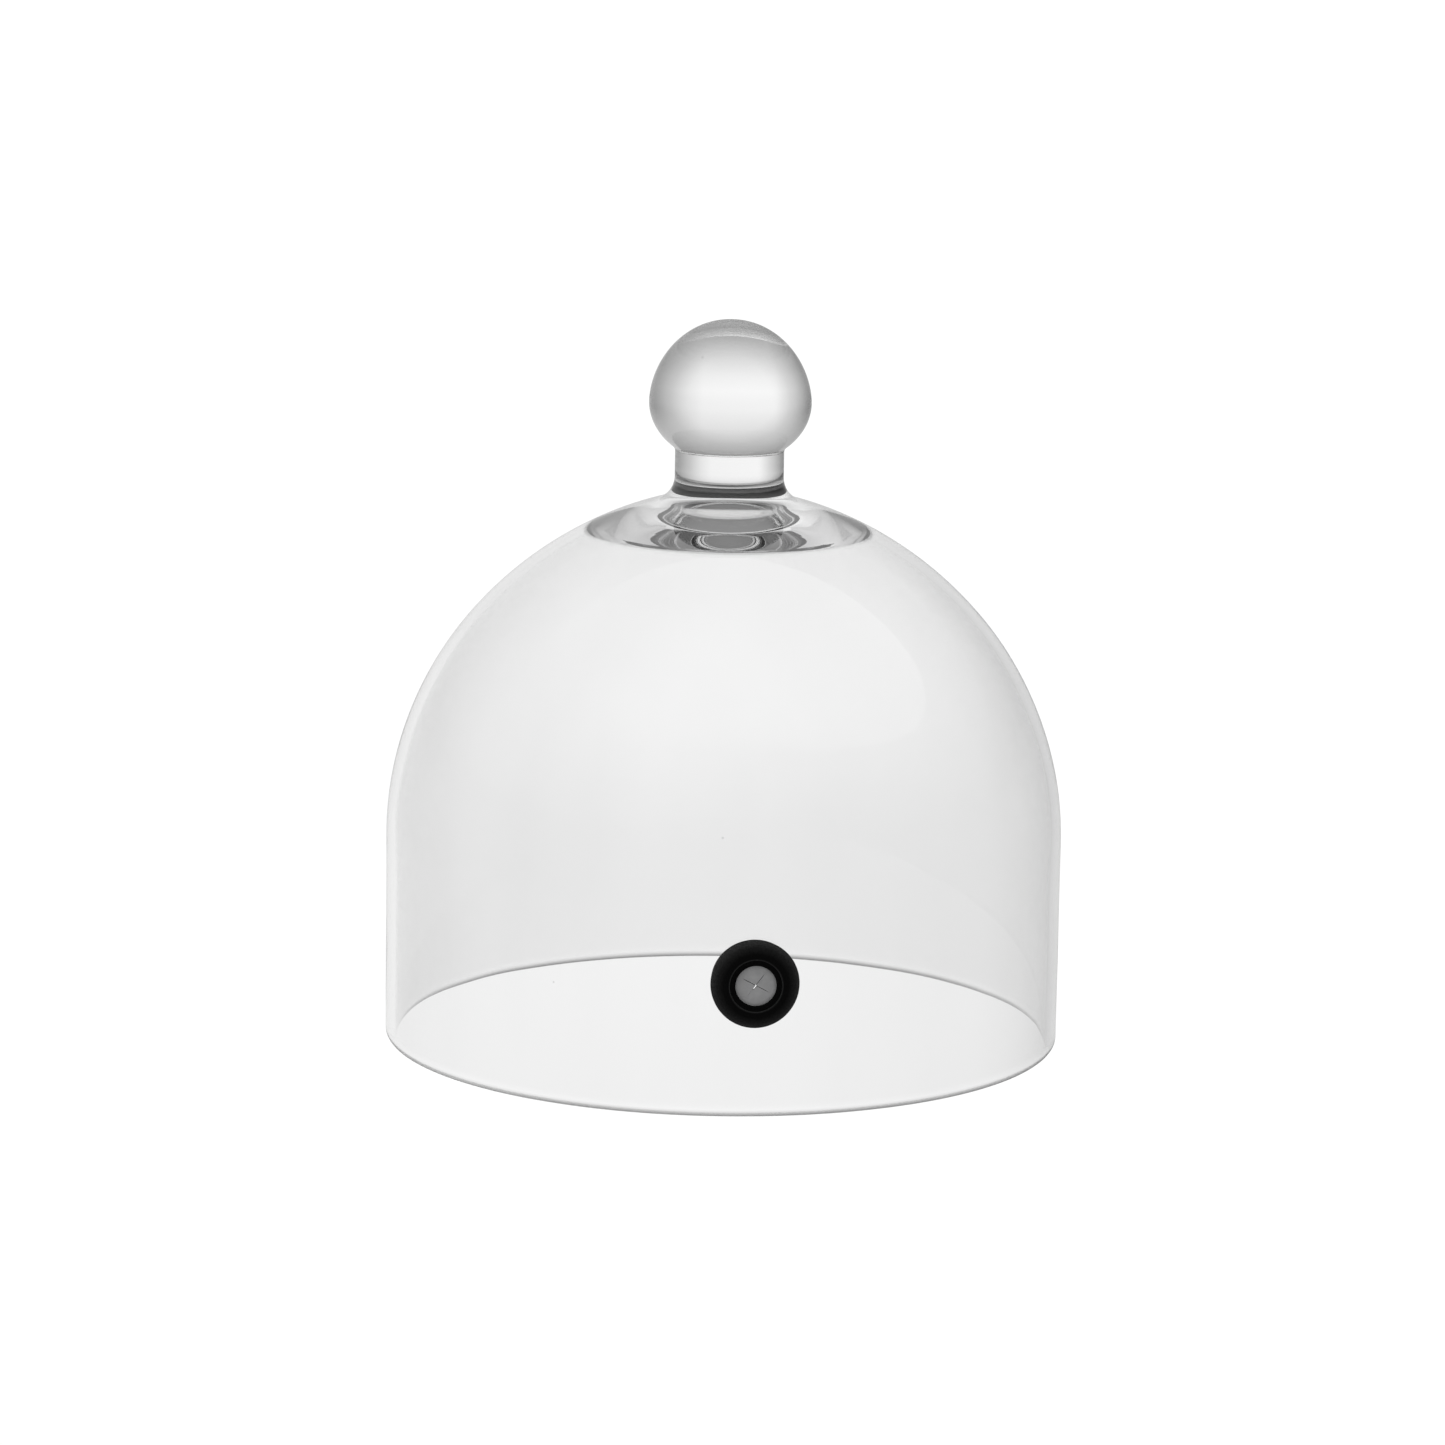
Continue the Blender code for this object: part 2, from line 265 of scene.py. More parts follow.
def addNoise(tree, scale, detail, roughness=0.5, stretch=(1.0, 1.0, 1.0)):
    coordinates = tree.nodes.new("ShaderNodeTexCoord")
    mapping = tree.nodes.new("ShaderNodeMapping")
    mapping.inputs["Scale"].default_value = stretch
    link(tree, coordinates, "Object", mapping, "Vector")
    texture = tree.nodes.new("ShaderNodeTexNoise")
    link(tree, mapping, "Vector", texture, "Vector")
    texture.inputs["Scale"].default_value = scale
    texture.inputs["Detail"].default_value = detail
    texture.inputs["Roughness"].default_value = roughness
    return texture.outputs["Fac"]


def addRamp(tree, fac, stops):
    ramp = tree.nodes.new("ShaderNodeValToRGB")
    tree.links.new(fac, ramp.inputs["Fac"])
    elements = ramp.color_ramp.elements
    while len(elements) < len(stops):
        elements.new(0.5)
    for element, (place, value) in zip(elements, stops):
        element.position = place
        element.color = (value, value, value, 1.0) if isinstance(value, float) else (*value, 1.0)
    return ramp.outputs["Color"]


def addBump(tree, shader, height, strength, distance):
    bump = tree.nodes.new("ShaderNodeBump")
    tree.links.new(height, bump.inputs["Height"])
    bump.inputs["Strength"].default_value = strength
    bump.inputs["Distance"].default_value = distance
    link(tree, bump, "Normal", shader, "Normal")


def addTint(tree, share, first, second):
    # first is a colour socket, second a plain colour
    mix = tree.nodes.new("ShaderNodeMix")
    mix.data_type = "RGBA"
    tree.links.new(share, mix.inputs[0])
    tree.links.new(first, mix.inputs[6])
    mix.inputs[7].default_value = (*second, 1.0)
    return mix.outputs[2]


clearGlassLook = {
    "tint": (0.965, 0.965, 0.965),
    "streakTint": (0.945, 0.945, 0.945),
    "speckTint": (0.62, 0.62, 0.62),
    # painted shade: the dark tint mixed in towards the edges
    "paintedEdgeShade": (0.32, 0.32, 0.32),
    "bellShade": 0.13,
    "edge": [(0.15, 0.0), (0.32, 0.38), (0.6, 0.65), (0.9, 1.0)],
    # painted shade on the rim's lowest band
    "rimShade": 0.5,
    "rimFull": 0.9 * mm,
    "rimEnds": 1.7 * mm,
    "solidFrom": 165.0 * mm,
    "solidFull": 172.0 * mm,
    "ior": 1.5,
    "streakScale": 26.0,
    "streakStretch": (1.0, 1.0, 0.22),
    "seedScale": 62.0,
    "scatterScale": 17.0,
    "waveScale": 34.0,
    "waveStretch": (1.0, 1.0, 0.35),
    "waveDepth": 0.02 * mm,
}


def makeClearGlass():
    look = clearGlassLook
    material, tree, shader = newMaterial("clearGlass")
    shader.inputs["Transmission Weight"].default_value = 1.0
    shader.inputs["IOR"].default_value = look["ior"]
    shader.inputs["Roughness"].default_value = 0.0
    # faint drawn streaks down the wall, and a few dust-fine seeds in the glass
    streaks = addNoise(tree, look["streakScale"], 3.0, 0.55, look["streakStretch"])
    tint = addRamp(tree, streaks, [(0.35, look["tint"]), (0.72, look["streakTint"])])
    cells = tree.nodes.new("ShaderNodeTexVoronoi")
    coordinates = tree.nodes.new("ShaderNodeTexCoord")
    link(tree, coordinates, "Object", cells, "Vector")
    cells.inputs["Scale"].default_value = look["seedScale"]
    seeds = addRamp(tree, cells.outputs["Distance"], [(0.018, 1.0), (0.03, 0.0)])
    scatter = addNoise(tree, look["scatterScale"], 0.0)
    scatter = addRamp(tree, scatter, [(0.6, 0.0), (0.63, 1.0)])
    tint = addTint(tree, addMath(tree, "MULTIPLY", seeds, scatter), tint, look["speckTint"])
    # painted shade: the tint darkens towards the edges at grazing angles, more on the solid ball
    # and neck than on the thin bell
    parts = tree.nodes.new("ShaderNodeSeparateXYZ")
    link(tree, coordinates, "Object", parts, "Vector")
    height = parts.outputs["Z"]
    solid = addRange(tree, height, look["solidFrom"], look["solidFull"], look["bellShade"], 1.0)
    facing = tree.nodes.new("ShaderNodeLayerWeight")
    facing.inputs["Blend"].default_value = 0.5
    shade = addMath(tree, "MULTIPLY", addRamp(tree, facing.outputs["Facing"], look["edge"]), solid)
    # painted shade also darkens the fire-polished rim's lowest band, by height
    rim = addRange(tree, height, look["rimFull"], look["rimEnds"], look["rimShade"], 0.0)
    shade = addMath(tree, "MAXIMUM", shade, rim)
    tint = addTint(tree, shade, tint, look["paintedEdgeShade"])
    tree.links.new(tint, shader.inputs["Base Color"])
    waves = addNoise(tree, look["waveScale"], 2.0, 0.4, look["waveStretch"])
    addBump(tree, shader, waves, 1.0, look["waveDepth"])
    return material


blackRubberLook = {
    "dark": 0.0008,
    # the colour of the painted glint and sheen
    "paintedSheenColour": 0.034,
    "specular": 0.02,
    "sheen": 0.05,
    "sheenRoughness": 0.3,
    "speckSize": 0.33 * mm,
    "cloudScale": 320.0,
    "grainDepth": 0.05 * mm,
    "valveCentre": (0.0, -100.0 * mm, 38.8 * mm),
    # painted light on the rubber, by the distance from the valve's axis in mm: a thin painted
    # glint at the seat's edge, and painted sheen rising towards the flange's rim
    "paintedSheenReach": 14.0 * mm,
    "paintedGlintAndSheen": [
        (7.2, 0.1), (7.4, 0.62), (7.62, 0.5), (7.8, 0.05),
        (9.2, 0.06), (11.0, 0.34), (12.0, 0.75), (12.6, 1.0),
    ],
}


def makeBlackRubber():
    look = blackRubberLook
    material, tree, shader = newMaterial("blackRubber")
    specks = addNoise(tree, 1 / look["speckSize"], 3.0, 0.7)
    clouds = addNoise(tree, look["cloudScale"], 2.0)
    coordinates = tree.nodes.new("ShaderNodeTexCoord")
    fromCentre = tree.nodes.new("ShaderNodeVectorMath")
    fromCentre.operation = "SUBTRACT"
    link(tree, coordinates, "Object", fromCentre, "Vector")
    fromCentre.inputs[1].default_value = look["valveCentre"]
    flat = tree.nodes.new("ShaderNodeVectorMath")
    flat.operation = "MULTIPLY"
    link(tree, fromCentre, "Vector", flat, "Vector")
    flat.inputs[1].default_value = (1.0, 0.0, 1.0)
    length = tree.nodes.new("ShaderNodeVectorMath")
    length.operation = "LENGTH"
    link(tree, flat, "Vector", length, "Vector")
    # painted highlight and sheen, broken up by the rubber's real speckle
    share = addMath(tree, "DIVIDE", length.outputs["Value"], look["paintedSheenReach"])
    stops = [(place * mm / look["paintedSheenReach"], value) for place, value in look["paintedGlintAndSheen"]]
    paintedGlintAndSheen = addRamp(tree, share, stops)
    speckled = addMath(tree, "MULTIPLY", paintedGlintAndSheen, addRamp(tree, specks, [(0.36, 0.3), (0.66, 1.0)]))
    colour = addRamp(tree, speckled, [(0.0, look["dark"]), (1.0, look["paintedSheenColour"])])
    tree.links.new(colour, shader.inputs["Base Color"])
    fine = addMath(tree, "MULTIPLY", specks, 0.6)
    broad = addMath(tree, "MULTIPLY", clouds, 0.4)
    rough = addRamp(tree, addMath(tree, "ADD", fine, broad), [(0.3, 0.52), (0.7, 0.78)])
    tree.links.new(rough, shader.inputs["Roughness"])
    shader.inputs["Specular IOR Level"].default_value = look["specular"]
    shader.inputs["Sheen Weight"].default_value = look["sheen"]
    shader.inputs["Sheen Roughness"].default_value = look["sheenRoughness"]
    addBump(tree, shader, specks, 0.5, look["grainDepth"])
    return material


blackRingLook = {
    "dark": 0.0006,
    "worn": 0.002,
    "specular": 0.03,
    "grainScale": 1900.0,
    "grainDepth": 0.02 * mm,
}


def makeBlackRing():
    look = blackRingLook
    material, tree, shader = newMaterial("blackRing")
    grain = addNoise(tree, look["grainScale"], 2.0, 0.6)
    colour = addRamp(tree, grain, [(0.4, look["dark"]), (0.7, look["worn"])])
    tree.links.new(colour, shader.inputs["Base Color"])
    tree.links.new(addRamp(tree, grain, [(0.3, 0.5), (0.7, 0.66)]), shader.inputs["Roughness"])
    shader.inputs["Specular IOR Level"].default_value = look["specular"]
    addBump(tree, shader, grain, 0.3, look["grainDepth"])
    return material


greySiliconeLook = {
    "pale": (0.235, 0.235, 0.237),
    "shade": (0.2, 0.2, 0.202),
    "specular": 0.3,
    "cloudScale": 420.0,
    "grainScale": 5200.0,
    "mouldDepth": 0.02 * mm,
}


def makeGreySilicone():
    look = greySiliconeLook
    material, tree, shader = newMaterial("greySilicone")
    clouds = addNoise(tree, look["cloudScale"], 3.0, 0.6)
    grain = addNoise(tree, look["grainScale"], 2.0, 0.6)
    colour = addRamp(tree, clouds, [(0.3, look["shade"]), (0.7, look["pale"])])
    tree.links.new(colour, shader.inputs["Base Color"])
    tree.links.new(addRamp(tree, grain, [(0.3, 0.55), (0.7, 0.68)]), shader.inputs["Roughness"])
    shader.inputs["Specular IOR Level"].default_value = look["specular"]
    skin = addMath(tree, "ADD", clouds, addMath(tree, "MULTIPLY", grain, 0.4))
    addBump(tree, shader, skin, 0.4, look["mouldDepth"])
    return material


clearGlass = makeClearGlass()
blackRubber = makeBlackRubber()
blackRing = makeBlackRing()
greySilicone = makeGreySilicone()
print("materials made")


# The camera, floor and light.

viewpoint = {
    "aim": (-0.86 * mm, 0.0, 93.9 * mm),
    "distance": 1.7,
    "azimuth": -5.4,
    "elevation": 11.01,
    "roll": 0.89,
    "lens": 143.3,
}


def setCamera():
    azimuth = math.radians(viewpoint["azimuth"])
    elevation = math.radians(viewpoint["elevation"])
    back = Vector((
        math.sin(azimuth) * math.cos(elevation),
        -math.cos(azimuth) * math.cos(elevation),
        math.sin(elevation),
    ))
    data = bpy.data.cameras.new("camera")
    data.lens = viewpoint["lens"]
    data.sensor_width = 36.0
    data.clip_start = 0.05
    data.clip_end = 200.0
    camera = bpy.data.objects.new("camera", data)
    bpy.context.scene.collection.objects.link(camera)
    camera.location = Vector(viewpoint["aim"]) + back * viewpoint["distance"]
    look = (-back).to_track_quat("-Z", "Y").to_matrix()
    roll = Matrix.Rotation(math.radians(viewpoint["roll"]), 3, "Z")
    camera.rotation_euler = (look @ roll).to_euler()
    bpy.context.scene.camera = camera


studio = {
    "seen": 1.05,
    "onSurfaces": 0.9,
    # brightness through the glass and reflected in it, by the sine of the ray's elevation
    "through": [
        (-1.0, 0.12), (-0.85, 0.36), (-0.6, 0.62), (-0.33, 0.93), (-0.19, 1.04),
        (0.0, 1.0), (0.3, 0.72), (0.55, 0.42), (1.0, 0.2),
    ],
    "reflected": [
        (-1.0, 0.9), (-0.5, 0.7), (-0.15, 0.26), (0.15, 0.3),
        (0.4, 0.8), (0.75, 1.8), (1.0, 1.9),
    ],
    "behindGlow": 0.22,
    # the room on the camera's side is dimmer than the lit background
    "cameraSide": 0.3,
    "dimsTowardsCamera": (-0.35, 0.25),
    "rightFall": 0.06,
    # far to either side the room is dimmer through the glass, and to the right it reflects less
    "sideThrough": 0.5,
    "sideReach": (0.32, 0.9),
    "rightReflected": 0.35,
    "rightReach": (0.0, 0.8),
    "opensUpwards": (0.1, 0.5),
    "bounces": 12,
}


def setWorld():
    world = bpy.data.worlds.new("studioLight")
    bpy.context.scene.world = world
    world.use_nodes = True
    tree = world.node_tree
    background = tree.nodes["Background"]
    coordinates = tree.nodes.new("ShaderNodeTexCoord")
    parts = tree.nodes.new("ShaderNodeSeparateXYZ")
    link(tree, coordinates, "Generated", parts, "Vector")
    height = addMath(tree, "MULTIPLY_ADD", parts.outputs["Z"], 0.5)
    height.node.inputs[2].default_value = 0.5
    through, reflected = (
        addRamp(tree, height, [(0.5 + place / 2, value) for place, value in studio[name]])
        for name in ("through", "reflected")
    )
    glow = addMath(tree, "MULTIPLY_ADD", parts.outputs["Y"], studio["behindGlow"])
    glow.node.inputs[2].default_value = studio["behindGlow"]
    reflected = addMath(tree, "ADD", reflected, glow)
    side = addMath(tree, "MULTIPLY", parts.outputs["X"], -studio["rightFall"])
    side = addMath(tree, "ADD", side, 1.0 - studio["rightFall"] / 2)
    path = tree.nodes.new("ShaderNodeLightPath")

    def blendTo(share, first, second):
        mix = tree.nodes.new("ShaderNodeMix")
        mix.data_type = "FLOAT"
        tree.links.new(share, mix.inputs[0])
        for socket, value in ((mix.inputs[2], first), (mix.inputs[3], second)):
            if isinstance(value, (int, float)):
                socket.default_value = value
            else:
                tree.links.new(value, socket)
        return mix.outputs[0]

    near, far = studio["dimsTowardsCamera"]
    depth = addRange(tree, parts.outputs["Y"], near, far, studio["cameraSide"], 1.0, eased=True)
    through = addMath(tree, "MULTIPLY", through, depth)
    # the fall to the sides is only low down; higher up the room is open
    low = addRange(tree, parts.outputs["Z"], *studio["opensUpwards"], 1.0, 0.0)
    aside = addMath(tree, "ABSOLUTE", parts.outputs["X"], 0.0)

    def dimmed(light, value, reach, left):
        fall = addRange(tree, value, *reach, 0.0, 1.0 - left)
        share = addMath(tree, "MULTIPLY", fall, low)
        return addMath(tree, "MULTIPLY", light, addMath(tree, "SUBTRACT", 1.0, share))

    through = dimmed(through, aside, studio["sideReach"], studio["sideThrough"])
    reflected = dimmed(
        reflected, parts.outputs["X"], studio["rightReach"], studio["rightReflected"]
    )
    light = blendTo(path.outputs["Is Reflection Ray"], through, reflected)
    light = addMath(tree, "MULTIPLY", light, side)
    light = blendTo(path.outputs["Is Diffuse Ray"], light, studio["onSurfaces"])
    light = blendTo(path.outputs["Is Camera Ray"], light, studio["seen"])
    background.inputs["Color"].default_value = (1.0, 1.0, 1.0, 1.0)
    tree.links.new(light, background.inputs["Strength"])


def setFloor():
    # a plain white floor, lit evenly so that it shows no shadow
    material = bpy.data.materials.new("paleFloor")
    material.use_nodes = True
    tree = material.node_tree
    tree.nodes.remove(tree.nodes["Principled BSDF"])
    glow = tree.nodes.new("ShaderNodeEmission")
    glow.inputs["Color"].default_value = (1.0, 1.0, 1.0, 1.0)
    glow.inputs["Strength"].default_value = studio["seen"]
    link(tree, glow, "Emission", tree.nodes["Material Output"], "Surface")
    mesh = bpy.data.meshes.new("floor")
    half, down = 30.0, -0.2 * mm
    corners = [(-half, -half, down), (half, -half, down), (half, half, down), (-half, half, down)]
    mesh.from_pydata(corners, [], [(0, 1, 2, 3)])
    mesh.materials.append(material)
    floor = newObject("floor", mesh)
    floor.visible_diffuse = False
    floor.visible_glossy = False
    floor.visible_transmission = False
    floor.visible_shadow = False


def addSoftbox(name, location, size, watts):
    data = bpy.data.lights.new(name, "AREA")
    data.shape = "SQUARE"
    data.size = size
    data.energy = watts
    lamp = bpy.data.objects.new(name, data)
    bpy.context.scene.collection.objects.link(lamp)
    lamp.location = location
    aim = Vector((0.0, 0.0, 0.08)) - Vector(location)
    lamp.rotation_euler = aim.to_track_quat("-Z", "Y").to_euler()
    lamp.visible_glossy = False
    lamp.visible_transmission = False
    lamp.visible_camera = False


setCamera()
setWorld()
setFloor()
addSoftbox("overheadSoftbox", (0.0, -0.25, 1.3), 0.9, 5.0)
addSoftbox("leftSoftbox", (-1.1, -0.7, 0.6), 0.7, 2.0)
bpy.context.scene.view_settings.view_transform = "Standard"
# light takes many turns inside thick glass
rays = bpy.context.scene.cycles
rays.max_bounces = rays.glossy_bounces = rays.transmission_bounces = studio["bounces"]
print("camera, floor and light set")


# The blown bell and the solid ball that is drawn up from its crown.

glassSizes = {
    "radius": 100.0 * mm,
    "wall": 3.0 * mm,
    "shoulderStart": 59.5 * mm,
    "shoulderRise": 104.0 * mm,
    "sidePower": 1.8,
    "topPower": 2.05,
    "footFillet": 7.4 * mm,
    "crownFloorRadius": 40.0 * mm,
    "crownFloorRise": 4.0 * mm,
    "crownHollowRadius": 22.0 * mm,
    "crownHollowRise": 4.0 * mm,
    "neckRadius": 16.0 * mm,
    "collarFillet": 2.0 * mm,
    "ballRadius": 23.8 * mm,
    "ballAbove": 24.298 * mm,
    "ballBelow": 18.2 * mm,
    "ballSidePower": 1.85,
    "ballTopPower": 2.05,
    "seamToBallWidest": 21.9 * mm,
    "holeRadius": 10.0 * mm,
    "valveHeight": 38.8 * mm,
    "turns": 288,
    "unevenness": 0.12 * mm,
    "patchSize": 45.0 * mm,
}


def shoulderHeight(radius, bellRadius, rise):
    sizes = glassSizes
    side = 1.0 - (radius / bellRadius) ** sizes["sidePower"]
    return sizes["shoulderStart"] + rise * max(side, 0.0) ** (1.0 / sizes["topPower"])


def shoulderCurve(bellRadius, rise, innerRadius, steps):
    first = math.pi / 2
    last = math.asin(innerRadius / bellRadius)
    points = []
    for step in range(steps + 1):
        radius = bellRadius * math.sin(first + (last - first) * step / steps)
        points.append((radius, shoulderHeight(radius, bellRadius, rise)))
    return points


def filletToNeck(curve, fillet, low, high, outside):
    # height of the fillet's centre, and the point where it meets the curve
    centre = glassSizes["neckRadius"] + fillet

    def nearest(height):
        return min(curve, key=lambda point: math.dist(point, (centre, height)))

    for _ in range(60):
        middle = (low + high) / 2
        clear = math.dist(nearest(middle), (centre, middle)) > fillet
        if clear == outside:
            high = middle
        else:
            low = middle
    return middle, nearest(middle)


def glassOutline():
    sizes = glassSizes
    radius, wall, neck = sizes["radius"], sizes["wall"], sizes["neckRadius"]
    foot, collar = sizes["footFillet"], sizes["collarFillet"]
    curve = shoulderCurve(radius, sizes["shoulderRise"], neck, 2000)
    start = shoulderHeight(neck + foot, radius, sizes["shoulderRise"])
    seam, footJoins = filletToNeck(curve, foot, start, start + 3 * foot, True)
    widest = seam + sizes["seamToBallWidest"]
    ball = (sizes["ballRadius"], sizes["ballBelow"])
    underside = arcPoints((0.0, widest), ball, -90, 0, 2000)
    reach = (neck + collar) / ball[0]
    touches = widest - ball[1] * math.sqrt(1 - reach**2)
    lowest = widest - ball[1] - 3 * collar
    collarHeight, ballJoins = filletToNeck(underside, collar, lowest, touches, False)
    ballEnd = math.degrees(math.asin((ballJoins[1] - widest) / ball[1]))
    collarStart = math.atan2(ballJoins[1] - collarHeight, ballJoins[0] - neck - collar)
    collarStart = math.degrees(collarStart)
    footEnd = math.degrees(math.atan2(footJoins[1] - seam, footJoins[0] - neck - foot))
    # from the ball's top down the outside
    outline = [(0.0, widest + sizes["ballAbove"])]
    for step in range(1, 33):
        angle = math.pi / 2 * (1 - step / 32)
        across = max(math.cos(angle), 0.0) ** (2 / sizes["ballTopPower"])
        up = max(math.sin(angle), 0.0) ** (2 / sizes["ballSidePower"])
        outline.append((ball[0] * across, widest + sizes["ballAbove"] * up))
    outline += arcPoints((0.0, widest), ball, 0, ballEnd, 16)[1:]
    outline += arcPoints((neck + collar, collarHeight), (collar, collar), collarStart, 180, 8)[1:]
    outline += straightPoints((neck, collarHeight), (neck, seam), 6)
    outline += arcPoints((neck + foot, seam), (foot, foot), -180, footEnd, 12)[1:]
    outline += shoulderCurve(radius, sizes["shoulderRise"], footJoins[0], 56)[::-1][1:]
    # down the straight wall, round the fire-polished rim and up the inside
    half = wall / 2
    outline += straightPoints((radius, sizes["shoulderStart"]), (radius, half), 29)
    outline += arcPoints((radius - half, half), (half, half), 0, -180, 12)[1:]
    outline += straightPoints((radius - wall, half), (radius - wall, sizes["shoulderStart"]), 29)
    floorRadius = sizes["crownFloorRadius"]
    inner = shoulderCurve(radius - wall, sizes["shoulderRise"] - wall, floorRadius, 44)
    outline += inner[1:]
    for step in range(1, 29):
        across = floorRadius * (1 - step / 28)
        height = inner[-1][1] + sizes["crownFloorRise"] * (1 - (across / floorRadius) ** 2)
        height += sizes["crownHollowRise"] * smooth(1 - across / sizes["crownHollowRadius"])
        outline.append((across, height))
    return outline


def cutValveHole(glass):
    sizes = glassSizes
    mesh = bpy.data.meshes.new("valveHole")
    bm = bmesh.new()
    place = Matrix.Translation((0.0, -sizes["radius"], sizes["valveHeight"]))
    bmesh.ops.create_cone(
        bm, cap_ends=True, segments=96, depth=20 * mm,
        radius1=sizes["holeRadius"], radius2=sizes["holeRadius"],
        matrix=place @ Matrix.Rotation(math.pi / 2, 4, "X"),
    )
    bm.to_mesh(mesh)
    bm.free()
    cutter = newObject("valveHole", mesh)
    modifier = glass.modifiers.new("hole", "BOOLEAN")
    modifier.operation = "DIFFERENCE"
    modifier.solver = "EXACT"
    modifier.object = cutter
    graph = bpy.context.evaluated_depsgraph_get()
    drilled = bpy.data.meshes.new_from_object(glass.evaluated_get(graph))
    glass.modifiers.remove(modifier)
    bpy.data.objects.remove(cutter)
    glass.data = drilled
    glass.data.name = glass.name
    faceOutwards(glass.data)


def makeGlass():
    sizes = glassSizes
    settings = {
        "Steps": sizes["turns"],
        "Unevenness": sizes["unevenness"],
        "Patch Size": sizes["patchSize"],
        "Even Above": sizes["shoulderStart"] + sizes["shoulderRise"],
        "Seed": 3.0,
    }
    glass = turnedObject("blown_bell_and_ball", glassOutline(), clearGlass, settings)
    cutValveHole(glass)
    smoothed(glass, 40)
    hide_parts("glass_dome", "glass_knob")
    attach(glass, "dome")


makeGlass()
print("bell and ball turned")


# The smoke valve. Along its axis, 0 is the outside of the glass and plus is outwards.

valveSizes = {
    "waist": 9.97 * mm,
    "flangeRadius": 12.55 * mm,
    "flangeRise": 3.3 * mm,
    "flangeGap": 0.06 * mm,
    "flangeEdge": 0.9 * mm,
    "flangeFlat": 0.9 * mm,
    "corner": 0.25 * mm,
    "seatRadius": 7.35 * mm,
    "seatRounding": 0.2 * mm,
    "seatGap": 0.02 * mm,
    "lipRadius": 12.0 * mm,
    "lipEdge": 0.9 * mm,
    "lipDepth": 3.3 * mm,
    "throatRadius": 5.8 * mm,
    "noseWall": 2.6 * mm,
    "noseBevel": 0.6 * mm,
    "ringThickness": 0.8 * mm,
    "ringSink": 0.075 * mm,
    "ringGap": 0.05 * mm,
    "ringRounding": 0.2 * mm,
    "membraneGap": 0.3 * mm,
    "membraneThickness": 0.8 * mm,
    "turns": 160,
}
valvePlace = (
    Matrix.Translation((0.0, -glassSizes["radius"], glassSizes["valveHeight"]))
    @ Matrix.Rotation(math.pi / 2, 4, "X")
)
ringFront = valveSizes["flangeRise"] - valveSizes["ringSink"]
membraneFront = ringFront - valveSizes["ringThickness"] - valveSizes["membraneGap"]
membraneBack = membraneFront - valveSizes["membraneThickness"]
evenTurn = {
    "Steps": valveSizes["turns"],
    "Unevenness": 0.0,
    "Patch Size": 1.0,
    "Even Above": 1.0,
    "Seed": 0.0,
}


def bendRoundGlass(mesh):
    # the flange and lip follow the glass; the seat and throat stay round and flat
    sizes = valveSizes
    for vertex in mesh.vertices:
        radius = math.hypot(vertex.co.x, vertex.co.y)
        share = smooth((radius - sizes["seatRadius"]) / (sizes["waist"] - sizes["seatRadius"]))
        sag = glassSizes["radius"] - math.sqrt(glassSizes["radius"] ** 2 - vertex.co.x**2)
        vertex.co.z -= sag * share


def makePlug():
    sizes = valveSizes
    rounding = sizes["seatRounding"]
    seat, flat = sizes["seatRadius"], sizes["seatRadius"] + sizes["flangeFlat"]
    edge = sizes["flangeGap"] + sizes["flangeEdge"]
    lipFace = -(glassSizes["wall"] + sizes["flangeGap"])
    lipEnd = lipFace - sizes["lipDepth"]
    throat, waist, lip = sizes["throatRadius"], sizes["waist"], sizes["lipRadius"]
    seatFloor = membraneBack - sizes["seatGap"]
    # from the seat's corner over the flange, back along the glass and up the throat
    flange, top, corner = sizes["flangeRadius"], sizes["flangeRise"], sizes["corner"]
    outline = arcPoints((seat + rounding, top - rounding), (rounding, rounding), 180, 90, 5)
    outline += arcPoints((flat, edge), (flange - flat, top - edge), 90, 0, 18)
    underside = sizes["flangeGap"] + corner
    outline += arcPoints((flange - corner, underside), (corner, corner), 0, -90, 5)
    outline += straightPoints(outline[-1], (waist, sizes["flangeGap"]), 6)
    outline += straightPoints((waist, sizes["flangeGap"]), (waist, lipFace), 6)
    outline += straightPoints((waist, lipFace), (lip - corner, lipFace), 4)
    outline += arcPoints((lip - corner, lipFace - corner), (corner, corner), 90, 0, 5)[1:]
    outline += straightPoints((lip, lipFace - corner), (lip, lipFace - sizes["lipEdge"]), 2)
    nose, bevel = throat + sizes["noseWall"], sizes["noseBevel"]
    outline += straightPoints((lip, lipFace - sizes["lipEdge"]), (nose, lipEnd), 6)
    outline += straightPoints((nose, lipEnd), (throat + bevel, lipEnd), 4)
    outline += straightPoints((throat + bevel, lipEnd), (throat, lipEnd + bevel), 3)
    outline += straightPoints((throat, lipEnd + bevel), (throat, seatFloor), 12)
    outline += straightPoints((throat, seatFloor), (seat, seatFloor), 4)
    outline += straightPoints((seat, seatFloor), (seat, top - rounding), 6)
    plug = turnedObject("rubber_plug", outline, blackRubber, evenTurn)
    bendRoundGlass(plug.data)
    plug.data.transform(valvePlace)
    smoothed(plug, 40)
    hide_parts("valve_grommet")
    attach(plug, "dome")


def makeRing():
    sizes = valveSizes
    outer, inner = sizes["seatRadius"] - sizes["ringGap"], sizes["throatRadius"]
    back = ringFront - sizes["ringThickness"]
    corner = sizes["ringRounding"]
    outline = arcPoints((outer - corner, ringFront - corner), (corner, corner), 0, 90, 5)
    outline += straightPoints(outline[-1], (inner + corner, ringFront), 5)
    outline += arcPoints((inner + corner, ringFront - corner), (corner, corner), 90, 180, 5)[1:]
    outline += straightPoints(outline[-1], (inner, back), 3)
    outline += straightPoints((inner, back), (outer, back), 4)
    outline += straightPoints((outer, back), (outer, ringFront - corner), 3)
    ring = turnedObject("press_in_ring", outline, blackRing, evenTurn)
    ring.data.transform(valvePlace)
    smoothed(ring, 40)
    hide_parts("valve_retaining_ring")
    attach(ring, "dome")
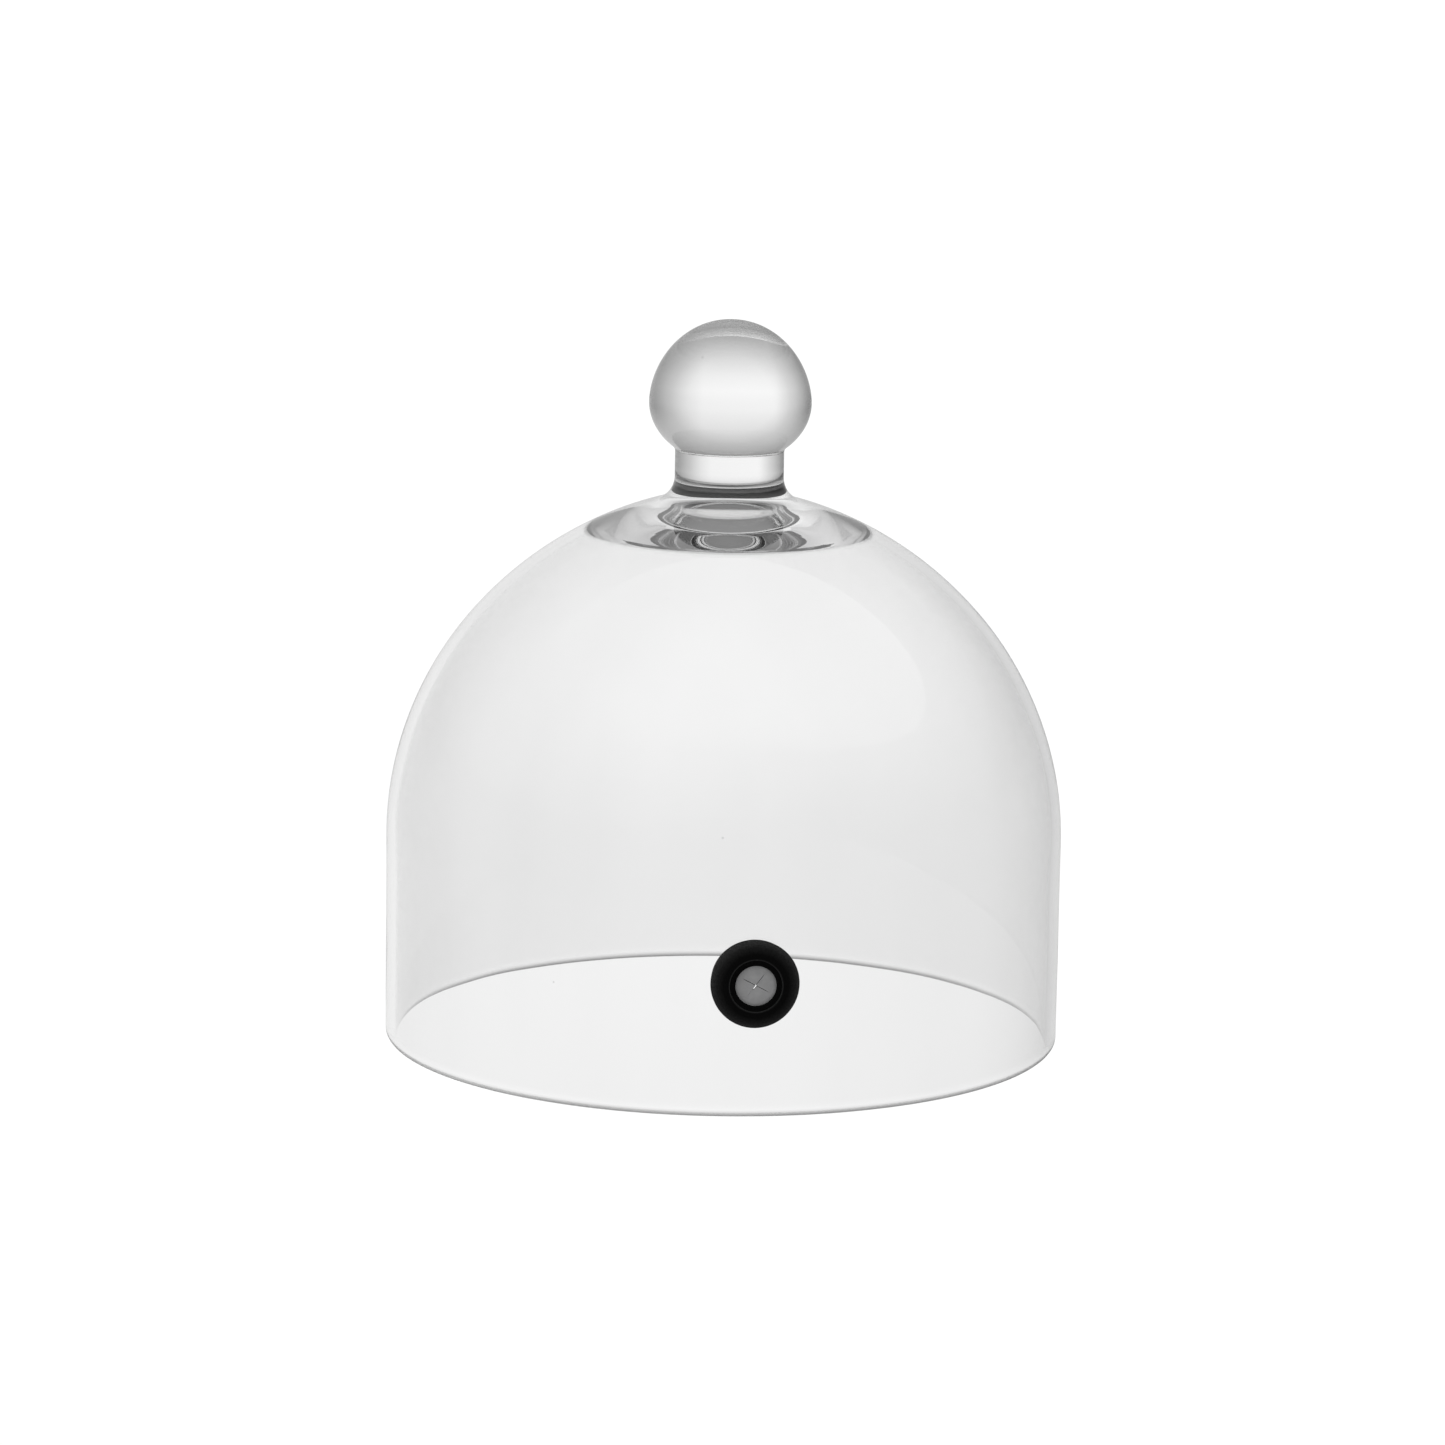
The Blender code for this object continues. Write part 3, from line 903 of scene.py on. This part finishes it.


# The membrane is cut across twice, into four flat quarters.

membraneSizes = {
    "radius": 7.05 * mm,
    "slitReach": 4.65 * mm,
    "slitGap": 0.16 * mm,
    # the cut closes up towards the back, and the cut that stands open is shut beyond its opening
    "slitGapBack": 0.012 * mm,
    "slitGapShut": 0.03 * mm,
    "slitDirections": (-28.0, 53.0, 152.0, 233.0),
    "bendLength": 1.1 * mm,
    # one quarter's tip stands off its neighbour, beside the slit that runs down to the left
    "openSlit": 3,
    "openWidth": 0.40 * mm,
    "openReach": 1.8 * mm,
    "beadRadius": 5.15 * mm,
    "beadWidth": 0.35 * mm,
    "beadRise": 0.03 * mm,
    "tipRadius": 0.02 * mm,
    "rings": 54,
    "ringSpread": 1.15,
    "spokes": 20,
}


def slitHalfGap(radius, slit, after, front):
    # half the gap at a radius; after says which side of the slit
    sizes = membraneSizes
    gap = sizes["slitGap"] if front else sizes["slitGapBack"]
    if slit == sizes["openSlit"]:
        gap = min(gap, sizes["slitGapShut"])
    half = gap / 2 * (1 - smooth((radius / sizes["slitReach"] - 0.6) / 0.4))
    if slit == sizes["openSlit"] and after and radius < sizes["openReach"]:
        share = radius / sizes["openReach"]
        half += sizes["openWidth"] * math.sin(math.pi * share ** 0.7) ** 1.2
    return half


def makeQuarter(number, slit, nextSlit):
    sizes = membraneSizes
    directions = sizes["slitDirections"]
    start = math.radians(directions[slit])
    end = math.radians(directions[nextSlit] + (360.0 if nextSlit < slit else 0.0))
    bm = bmesh.new()
    layers = {"front": [], "back": []}
    for ring in range(sizes["rings"] + 1):
        share = ring / sizes["rings"]
        radius = sizes["radius"] * share ** sizes["ringSpread"]
        radius += sizes["tipRadius"] * (1 - share)
        ranges = {}
        for name in layers:
            before = slitHalfGap(radius, slit, True, name == "front")
            after = slitHalfGap(radius, nextSlit, False, name == "front")
            low = start + math.asin(min(before / radius, 1.0))
            high = end - math.asin(min(after / radius, 1.0))
            ranges[name] = (low, high)
        if ranges["front"][1] - ranges["front"][0] < 0.02:
            continue
        fromBead = (radius - sizes["beadRadius"]) / sizes["beadWidth"]
        bead = sizes["beadRise"] * math.exp(-(fromBead**2))
        heights = {"front": membraneFront - sizes["beadRise"] + bead, "back": membraneBack}
        for name, height in heights.items():
            low, high = ranges[name]
            row = []
            for spoke in range(sizes["spokes"] + 1):
                angle = low + (high - low) * spoke / sizes["spokes"]
                place = (radius * math.cos(angle), radius * math.sin(angle), height)
                row.append(bm.verts.new(place))
            layers[name].append(row)
    front, back = layers["front"], layers["back"]
    for grid in (front, back):
        for near, far in zip(grid, grid[1:]):
            for spoke in range(sizes["spokes"]):
                bm.faces.new((near[spoke], near[spoke + 1], far[spoke + 1], far[spoke]))
    # the cut edges, then the tip and the outer edge
    last = sizes["spokes"]
    edges = [([row[side] for row in front], [row[side] for row in back]) for side in (0, last)]
    edges += [(front[row], back[row]) for row in (0, -1)]
    for upper, lower in edges:
        for first in range(len(upper) - 1):
            second = first + 1
            bm.faces.new((upper[first], upper[second], lower[second], lower[first]))
    mesh = bpy.data.meshes.new(f"membrane_quarter_{number}")
    bm.to_mesh(mesh)
    bm.free()
    faceOutwards(mesh)
    mesh.materials.append(greySilicone)
    mesh.transform(valvePlace)
    quarter = newObject(f"membrane_quarter_{number}", mesh)
    smoothed(quarter, 40)
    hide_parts(f"membrane_flap_{number}", *(["valve_membrane"] if number == 1 else []))
    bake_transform(quarter)


makePlug()
makeRing()
for number, (slit, nextSlit) in enumerate(((0, 1), (1, 2), (2, 3), (3, 0)), start=1):
    makeQuarter(number, slit, nextSlit)
print("valve made")
